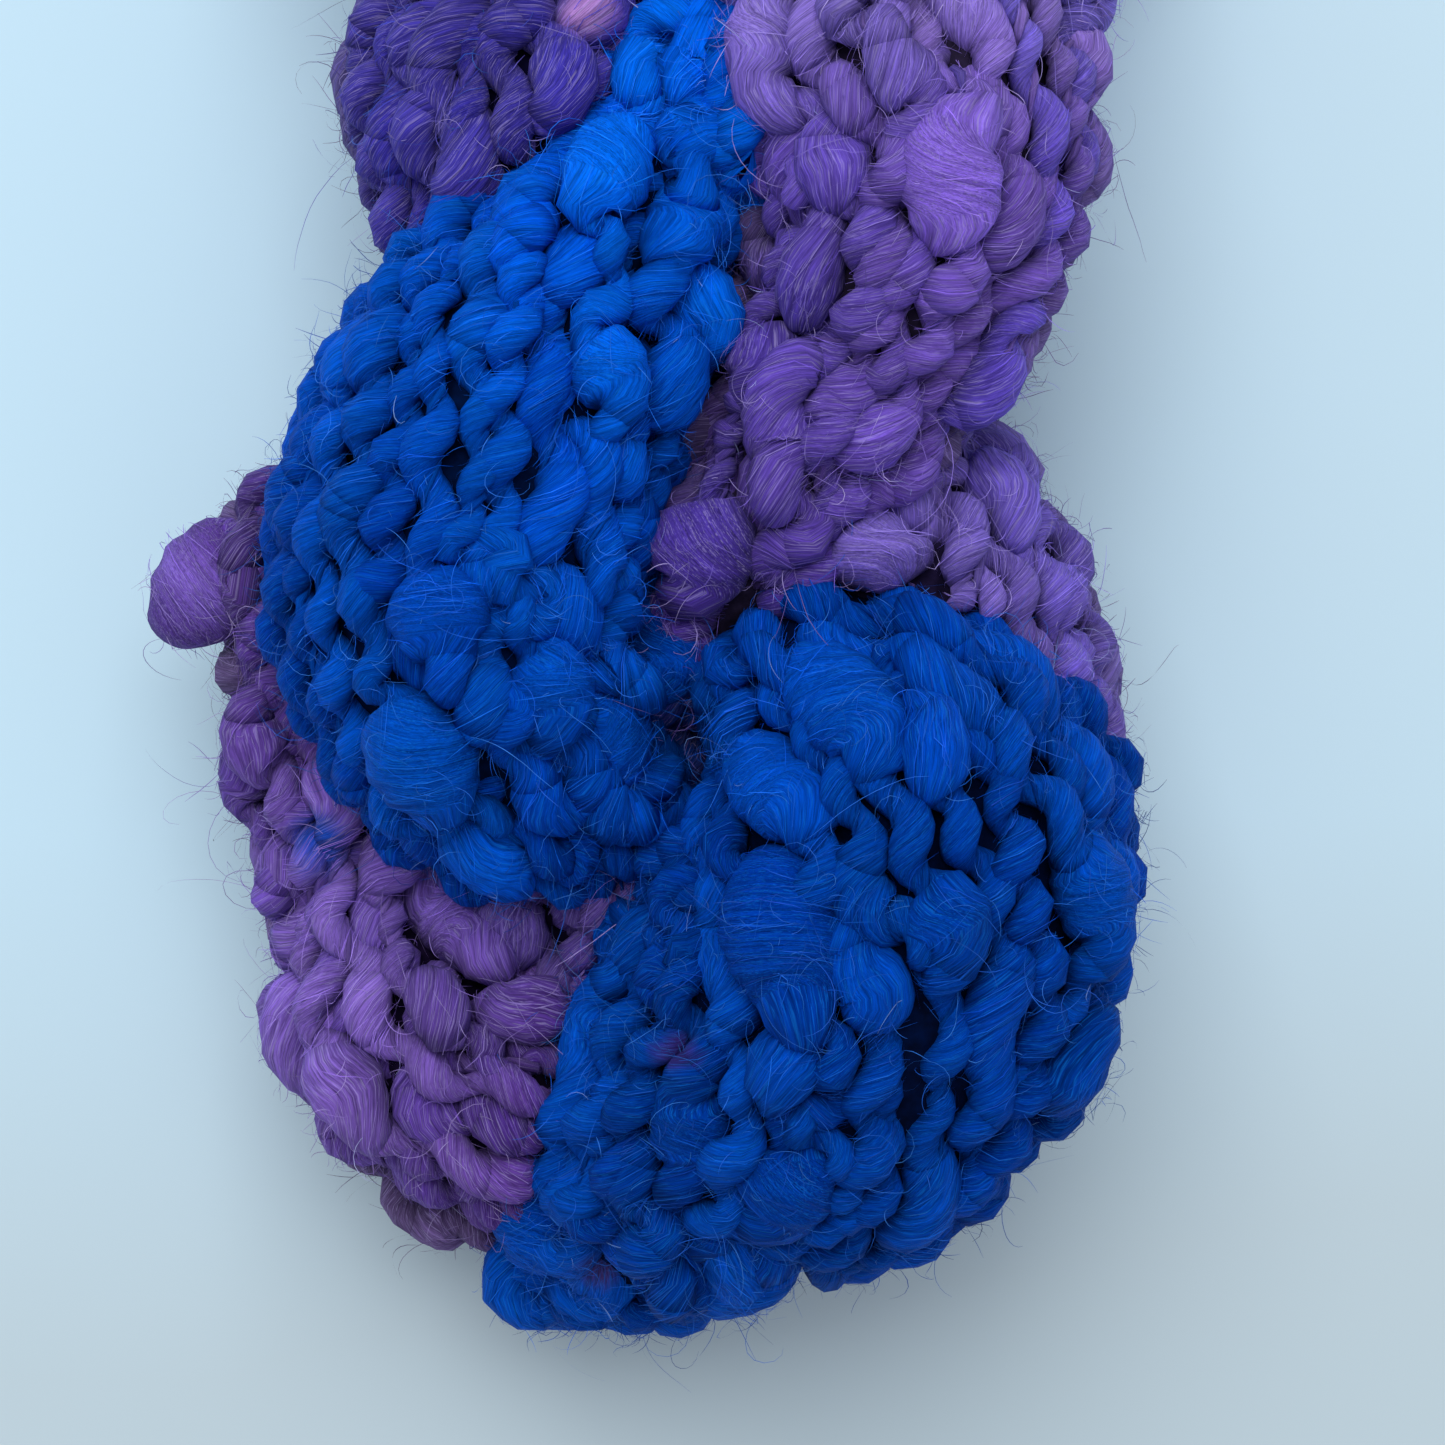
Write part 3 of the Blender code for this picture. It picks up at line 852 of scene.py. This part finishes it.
def bundle_piece(name, path, paths, plies, rng):
    """All strands of one bundle as one piece."""
    lines = strand_lines(path, TWIST.get(name, (0,)), rng)
    bumps = {i: [] for i in range(len(lines))}
    for slub in SLUBS:
        if slub.bundle == name:
            place_slub(path, lines, slub, bumps)
    random_slubs(lines, bumps, rng)
    tufts = [tuft_line(lines, tuft) for tuft in TUFTS if tuft.bundle == name]
    drawn_in(path, lines, bumps)
    tubes = Tubes()
    for number, line in enumerate(lines):
        shown = line[2] & ~hidden(line[0], name, paths)
        add_strand(tubes, plies, line, bumps[number], name, shown, number, rng)
    for number, (line, bump) in enumerate(tufts, len(lines)):
        add_strand(tubes, plies, line, bump, name, line[2], number, rng)
    points = above_floor(np.concatenate(tubes.points))
    faces = [np.concatenate(group) for group in tubes.faces.values()]
    piece = mesh_object("yarn_" + name, points, faces)
    layer = piece.data.attributes.new("fibre", "FLOAT_VECTOR", "POINT")
    layer.data.foreach_set("vector", np.concatenate(tubes.fibre).astype(np.float32).ravel())
    set_colour(piece.data, with_peeks(points, np.concatenate(tubes.colour)))
    return piece


def core_piece(paths):
    """The strands further in: a fluted form inside each bundle, beaded like them, coloured near
    black as painted shade.
    """
    points, faces, colours, size = [], [], [], 0
    angle = np.linspace(0, 2 * math.pi, CORE_SIDES, endpoint=False)[None, :, None]
    for name, path in paths.items():
        every = slice(None, None, CORE_STRIDE)
        along = path.distance[every, None, None]
        flutes = np.abs(np.sin(0.5 * CORE_FLUTES * angle + 0.04 * along))
        strand = np.floor(CORE_FLUTES * angle / (2 * math.pi))
        beads = np.abs(np.sin(math.pi * along / CORE_BEAD + 2.4 * strand))
        reach = path.radius[every, None, None] - CORE_INSET
        reach = np.maximum(reach + CORE_FLUTE_DEPTH * (flutes + beads - 0.8), 0.8)
        across, up = path.across[every, None, :], path.up[every, None, :]
        skin = np.sin(angle) * across + np.cos(angle) * path.ratio * up
        ring_points = (path.centre[every, None, :] + reach * skin).reshape(-1, 3)
        ring_points[:, 2] = np.maximum(ring_points[:, 2], CORE_LOWEST)
        faces.append(ring_quads(size, len(reach), CORE_SIDES)[:, ::-1])
        points.append(ring_points)
        # Painted shade: the core takes CORE_SHADE of its bundle's dye, near black.
        deep = CORE_SHADE * linear(DYES_AND_PAINTED_LIGHT[name].stops).mean(axis=0)
        colours.append(np.tile(deep, (len(ring_points), 1)))
        size += len(ring_points)
    core = mesh_object("yarn_core", np.concatenate(points), [np.concatenate(faces)])
    set_colour(core.data, np.concatenate(colours))
    return core


def joined(plies):
    """Every fat single's rings in one set of arrays, with each ring's own ply bounds."""
    starts = np.cumsum([0] + [len(p.radius) for p in plies])
    first = np.concatenate([np.full(len(p.radius), a) for p, a in zip(plies, starts)])
    last = np.concatenate([np.full(len(p.radius), b - 1) for p, b in zip(plies, starts[1:])])
    return Ply(*[np.concatenate(column) for column in zip(*plies)]), first, last


def picked(wool, count, edges, rng):
    """Rings to root fibres at, and the angle round each, more of them at the edges."""
    spots = np.array([[x, y] for x, y, _ in FUZZY]) + TO_FRAME[:2]
    reach = np.array([r for _, _, r in FUZZY])
    apart = np.linalg.norm(wool.centre[:, None, :2] - spots, axis=2) / reach
    fuzzy = np.exp(-(apart**2)).max(axis=1)
    weight = wool.radius * wool.stride * (0.3 + np.clip(wool.facing[:, 2] + 0.4, 0, 0.7))
    weight = weight * (1 + 1.2 * fuzzy) * (1 + edges * (1 - np.abs(wool.facing[:, 2])))
    pick = rng.choice(len(weight), count, p=weight / weight.sum())
    front = np.arctan2(
        (wool.facing[pick] * wool.other[pick]).sum(1), (wool.facing[pick] * wool.out[pick]).sum(1)
    )
    return pick, front + rng.normal(0, ROOT_SPREAD, count)


def ribbons(name, lines, widths, colours, facing):
    """Fibres as thin ribbons: lines is fibre, point, xyz, and facing the direction they face."""
    count, steps = lines.shape[:2]
    tangent = unit(np.gradient(lines, axis=1))
    side = unit(np.cross(tangent, facing))
    taper = np.sin(np.linspace(0.12, 1, steps) * math.pi * 0.9)[None, :, None]
    half = 0.5 * widths[:, None, None] * np.maximum(taper, 0.25) * side
    points = np.stack([lines - half, lines + half], axis=2).reshape(-1, 3)
    points[:, 2] = np.maximum(points[:, 2], FLOOR_CLEARANCE)
    base = (np.arange(count) * steps * 2)[:, None] + np.arange(steps - 1)[None, :] * 2
    quads = np.stack([base, base + 1, base + 3, base + 2], axis=2).reshape(-1, 4)
    piece = mesh_object(name, points, [quads], smooth=False)
    set_colour(piece.data, np.repeat(colours, steps * 2, axis=0))
    return piece


def fibre_colours(tint, pale, shares, whites, rng):
    """The yarn's colour with a share of the pale one, now and then nearly white."""
    blue = (tint[:, 0] < 0.12 * tint[:, 2])[:, None]
    pale = np.where(blue, linear(pale[0]), linear(pale[1]))
    share = shares[0] + (shares[1] - shares[0]) * rng.uniform(0, 1, len(tint))[:, None] ** 1.5
    bright = np.clip(rng.uniform(0.7, 1.6, len(tint))[:, None] * tint, 0, 1)
    white = (rng.uniform(0, 1, len(tint)) < whites)[:, None]
    colour = bright * (1 - share) + pale * share
    return np.where(white, 0.4 * linear(NEARLY_WHITE) + 0.6 * colour, colour)


def surface_fibres(plies, count, rng):
    """Fibres that lie on the fat singles, their ends a little raised."""
    wool, first, last = joined(plies)
    pick, angle = picked(wool, count, 0.0, rng)
    length = rng.uniform(*SURFACE_LENGTH, count) * np.clip(wool.radius[pick] / 2.6, 0.7, 1.5)
    along = np.linspace(-0.5, 0.5, SURFACE_STEPS)[None, :] * length[:, None]
    stray = np.where(rng.uniform(0, 1, count) > 0.9, 0.4, 0.1)
    tilt = np.arctan(wool.slant[pick]) + rng.normal(0, 1, count) * stray
    place = pick[:, None] + along * np.cos(tilt)[:, None] / wool.stride[pick][:, None]
    place = np.clip(place, first[pick][:, None], last[pick][:, None])
    low = np.minimum(place.astype(int), last[pick][:, None] - 1)
    part = place - low
    radius = wool.radius[low] * (1 - part) + wool.radius[low + 1] * part
    part = part[:, :, None]
    centre = wool.centre[low] * (1 - part) + wool.centre[low + 1] * part
    out = wool.out[low] * (1 - part) + wool.out[low + 1] * part
    other = wool.other[low] * (1 - part) + wool.other[low + 1] * part
    bow = rng.normal(0, SURFACE_BOW, count)[:, None] * along**2
    rate = 2 * math.pi / rng.uniform(*SURFACE_WAVE, count)[:, None]
    wave = np.sin(along * rate + rng.uniform(0, 2 * math.pi, count)[:, None])
    bow = bow + rng.uniform(0, 0.3, count)[:, None] * wave
    turn = angle[:, None] + (along * np.sin(tilt)[:, None] + bow) / wool.radius[pick][:, None]
    lift = rng.uniform(0.0, 1.2, count)[:, None] ** 2
    height = 0.14 + 0.09 * radius + lift * (2 * np.abs(along) / length[:, None]) ** 3
    skin = unit(np.cos(turn)[:, :, None] * out + np.sin(turn)[:, :, None] * other)
    lines = centre + skin * (radius + height)[:, :, None]
    widths = FIBRE_WIDTH * rng.uniform(0.6, 1.3, count)
    # Painted highlight: a share of the pale colour makes the lying fibres paler than their strand.
    colours = fibre_colours(wool.tint[pick], (PALE_BLUE, PALE_LILAC), (0.0, 0.38), 0.0, rng)
    return lines, widths, colours, skin


def curling_fibres(plies, look, rng):
    """Fibres that leave the yarn and curl in loops that lie along it."""
    count, steps = look.count, look.steps
    wool, _, _ = joined(plies)
    pick, angle = picked(wool, count, look.edges, rng)
    normal = np.cos(angle)[:, None] * wool.out[pick] + np.sin(angle)[:, None] * wool.other[pick]
    around = np.cos(angle)[:, None] * wool.other[pick] - np.sin(angle)[:, None] * wool.out[pick]
    heading = np.cross(wool.out[pick], wool.other[pick])
    length = rng.uniform(*look.lengths, count) * rng.uniform(0.4, 1.0, count)
    step = (length / (steps - 1))[:, None]
    tilt = (np.arctan(wool.slant[pick]) + rng.normal(0, look.stray, count))[:, None]
    flat = (np.cos(tilt) * heading + np.sin(tilt) * around) * rng.choice([-1, 1], count)[:, None]
    lean = look.rise * rng.uniform(0.3, 1.8, count)[:, None]
    direction = unit(flat + lean * normal)
    axis = unit(normal * rng.choice([-1.0, 1.0], count)[:, None] + rng.normal(0, 0.35, (count, 3)))
    bend = look.curl * rng.uniform(0.1, 1.4, count)[:, None]
    change = rng.normal(0, 0.5, count)[:, None] * look.curl
    spot = wool.centre[pick] + normal * (0.95 * wool.radius[pick][:, None])
    lines = [spot]
    for i in range(steps - 1):
        spot = spot + direction * step
        lines.append(spot)
        turn = (bend + change * i / steps) * step
        direction = unit(direction + np.cross(axis, direction) * turn)
        direction = unit(direction + 0.035 * rng.normal(0, 1, (count, 3)))
    lines = np.stack(lines, axis=1)
    lines[:, :, 2] = np.maximum(lines[:, :, 2], HAIR_FLOOR)
    lines = np.clip(lines, -HAIR_REACH, HAIR_REACH)
    widths = LOOSE_WIDTH * rng.uniform(0.75, 1.3, count)
    facing = unit(rng.normal(0, 0.8, (count, 1, 3)) + normal[:, None, :] + (0, 0, 0.6))
    colours = fibre_colours(wool.tint[pick], (HAIR_BLUE, HAIR_LILAC), (0.08, 0.65), 0.02, rng)
    upright = np.clip(0.2 + 1.3 * np.abs(wool.facing[pick, 2]), 0, 1)[:, None]
    colours = colours * upright + 0.45 * wool.tint[pick] * (1 - upright)
    return lines, widths, colours, np.repeat(facing, steps, 1)


def new_material(name):
    material = bpy.data.materials.new(name)
    material.use_nodes = True
    tree = material.node_tree
    return material, tree.nodes, tree.links, tree.nodes["Principled BSDF"]


def noise(nodes, links, vector, scale, detail, rough=0.55, bent=0.0):
    node = nodes.new("ShaderNodeTexNoise")
    node.inputs["Scale"].default_value = scale
    node.inputs["Detail"].default_value = detail
    node.inputs["Roughness"].default_value = rough
    node.inputs["Distortion"].default_value = bent
    links.new(vector, node.inputs["Vector"])
    return node.outputs["Fac"]


def mapped(nodes, links, value, low, high, to_low, to_high):
    node = nodes.new("ShaderNodeMapRange")
    for name, number in zip(
        ("From Min", "From Max", "To Min", "To Max"), (low, high, to_low, to_high)
    ):
        node.inputs[name].default_value = number
    links.new(value, node.inputs["Value"])
    return node.outputs["Result"]


def math_node(nodes, links, operation, first, second):
    node = nodes.new("ShaderNodeMath")
    node.operation = operation
    for socket, value in zip(node.inputs, (first, second)):
        if isinstance(value, (int, float)):
            socket.default_value = value
        else:
            links.new(value, socket)
    return node.outputs[0]


def attribute(nodes, name, output):
    """One output of a value that the mesh stores at its points."""
    node = nodes.new("ShaderNodeAttribute")
    node.attribute_name = name
    return node.outputs[output]


def scaled_colour(nodes, links, gain):
    """The yarn's stored colour, made lighter or darker by the gain."""
    node = nodes.new("ShaderNodeVectorMath")
    node.operation = "SCALE"
    links.new(attribute(nodes, "yarn_colour", "Color"), node.inputs[0])
    links.new(gain, node.inputs["Scale"])
    return node.outputs[0]


def wool_material(name, sheen):
    """Dyed wool: streaks along the fibres, pale streaks of painted highlight, fine relief, and a
    soft sheen.
    """
    material, nodes, links, shader = new_material(name)
    stretch = nodes.new("ShaderNodeVectorMath")
    stretch.operation = "MULTIPLY"
    stretch.inputs[1].default_value = (1.0, 1.0, 0.06)
    links.new(attribute(nodes, "fibre", "Vector"), stretch.inputs[0])
    fine = noise(nodes, links, stretch.outputs[0], 4.2, 4.0, 0.66)
    broad = noise(nodes, links, stretch.outputs[0], 0.9, 2.0)
    fine_gain = mapped(nodes, links, fine, 0.32, 0.68, 0.5, 1.55)
    broad_gain = mapped(nodes, links, broad, 0.3, 0.7, 0.75, 1.25)
    gain = math_node(nodes, links, "MULTIPLY", fine_gain, broad_gain)
    # Painted highlight: thin pale streaks along the fibres, mixed toward the sheen colour.
    hair_highlights = noise(nodes, links, stretch.outputs[0], 6.5, 1.0, 0.5, 0.35)
    pale = nodes.new("ShaderNodeMix")
    pale.data_type = "RGBA"
    pale.inputs["B"].default_value = (*linear(sheen), 1.0)
    links.new(mapped(nodes, links, hair_highlights, 0.54, 0.7, 0.0, 0.4), pale.inputs["Factor"])
    links.new(scaled_colour(nodes, links, gain), pale.inputs["A"])
    links.new(pale.outputs["Result"], shader.inputs["Base Color"])
    bump = nodes.new("ShaderNodeBump")
    bump.inputs["Strength"].default_value = 0.75
    bump.inputs["Distance"].default_value = 0.0006
    links.new(fine, bump.inputs["Height"])
    links.new(bump.outputs["Normal"], shader.inputs["Normal"])
    shader.inputs["Roughness"].default_value = 0.62
    shader.inputs["Specular IOR Level"].default_value = 0.1
    shader.inputs["Sheen Weight"].default_value = 0.12
    shader.inputs["Sheen Roughness"].default_value = 0.5
    shader.inputs["Sheen Tint"].default_value = (*linear(sheen), 1.0)
    shader.inputs["Specular Tint"].default_value = (*linear(sheen), 1.0)
    return material


def mottled_material(name, scale, detail, gains, roughness, specular):
    """Wool in its stored colour, lighter and darker from place to place."""
    material, nodes, links, shader = new_material(name)
    place = nodes.new("ShaderNodeTexCoord").outputs["Object"]
    patch = noise(nodes, links, place, scale, detail)
    gain = mapped(nodes, links, patch, 0.3, 0.7, *gains)
    links.new(scaled_colour(nodes, links, gain), shader.inputs["Base Color"])
    shader.inputs["Roughness"].default_value = roughness
    shader.inputs["Specular IOR Level"].default_value = specular
    return material


def floor_material():
    """A pale matt surface with painted shade: greyer toward the viewer and toward the right, where
    the lamp's light falls off.
    """
    material, nodes, links, shader = new_material("pale_floor")
    place = nodes.new("ShaderNodeTexCoord")
    split = nodes.new("ShaderNodeSeparateXYZ")
    links.new(place.outputs["Object"], split.inputs["Vector"])
    patch = noise(nodes, links, place.outputs["Object"], 9.0, 2.0)
    # Painted shade: the floor darkens toward the viewer and toward the right, as the lamp's light
    # falls off.
    back = mapped(nodes, links, split.outputs["Y"], -0.15, -0.07, 0.0, 1.0)
    aside = mapped(nodes, links, split.outputs["X"], -0.08, 0.1, 0.04, -0.3)
    uneven = mapped(nodes, links, patch, 0.3, 0.7, -0.06, 0.06)
    share = math_node(nodes, links, "ADD", back, aside)
    shade = nodes.new("ShaderNodeValToRGB")
    shade.color_ramp.elements[0].color = (*linear((197, 215, 225)), 1)
    shade.color_ramp.elements[1].color = (*linear((204, 234, 251)), 1)
    links.new(math_node(nodes, links, "ADD", share, uneven), shade.inputs["Fac"])
    links.new(shade.outputs["Color"], shader.inputs["Base Color"])
    shader.inputs["Roughness"].default_value = 0.8
    shader.inputs["Specular IOR Level"].default_value = 0.1
    return material


def studio():
    """Pale floor, soft light from above and the upper left, and a camera straight above."""
    scene = bpy.context.scene
    corners = FLOOR_HALF * np.array([(-1, -1, 0), (1, -1, 0), (1, 1, 0), (-1, 1, 0)])
    floor = mesh_object("floor", corners, [np.array([[0, 1, 2, 3]])], smooth=False)
    floor.data.materials.append(floor_material())
    world = bpy.data.worlds.new("studio")
    world.use_nodes = True
    background = world.node_tree.nodes["Background"]
    background.inputs["Color"].default_value = (0.95, 0.98, 1.0, 1)
    background.inputs["Strength"].default_value = SKY_STRENGTH
    scene.world = world
    lamp = bpy.data.lights.new("window", "AREA")
    lamp.shape = "RECTANGLE"
    lamp.size = WINDOW_SIDE
    lamp.size_y = WINDOW_SIDE
    lamp.energy = WINDOW_ENERGY
    lamp.color = (1.0, 1.0, 0.99)
    window = bpy.data.objects.new("window", lamp)
    window.location = WINDOW_PLACE
    aim = -window.location.normalized()
    window.rotation_euler = aim.to_track_quat("-Z", "Y").to_euler()
    scene.collection.objects.link(window)
    camera = bpy.data.objects.new("camera", bpy.data.cameras.new("camera"))
    scene.collection.objects.link(camera)
    camera.location = CAMERA_PLACE
    camera.data.lens_unit = "FOV"
    camera.data.angle = 2 * math.atan(HALF_FRAME / FRAME_DISTANCE)
    camera.data.clip_start = 0.01
    scene.camera = camera
    scene.view_settings.view_transform = "Standard"
    scene.view_settings.look = "None"


def main():
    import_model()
    rng = np.random.default_rng(SEED)
    paths = all_paths()
    blue_wool = wool_material("blue_wool", PALE_BLUE)
    lilac_wool = wool_material("lilac_wool", PALE_LILAC)
    fluff = mottled_material("loose_fibre", 400.0, 2.0, (0.75, 1.25), 0.55, 0.12)
    # The core's material: painted shade near black, mottled.
    shaded_core_wool = mottled_material("inner_wool_painted_shade", 500.0, 4.0, (0.4, 1.3), 0.95, 0.05)
    plies = []
    pieces = []
    for name, path in paths.items():
        piece = bundle_piece(name, path, paths, plies, rng)
        piece.data.materials.append(blue_wool if name in BLUE else lilac_wool)
        pieces.append(piece)
    core = core_piece(paths)
    core.data.materials.append(shaded_core_wool)
    pieces.append(core)
    groups = {
        "surface_fibres_one": surface_fibres(plies, SURFACE_FIBRES, rng),
        "surface_fibres_two": surface_fibres(plies, SURFACE_FIBRES, rng),
    }
    for name, look in CURLING.items():
        groups[name] = curling_fibres(plies, look, rng)
    for name, group in groups.items():
        piece = ribbons(name, *group)
        piece.data.materials.append(fluff)
        pieces.append(piece)
    for piece in pieces:
        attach(piece, "root")
        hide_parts("hank")
        triangles = sum(len(p.vertices) - 2 for p in piece.data.polygons)
        print(piece.name, triangles, "triangles")
    studio()
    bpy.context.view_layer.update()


main()
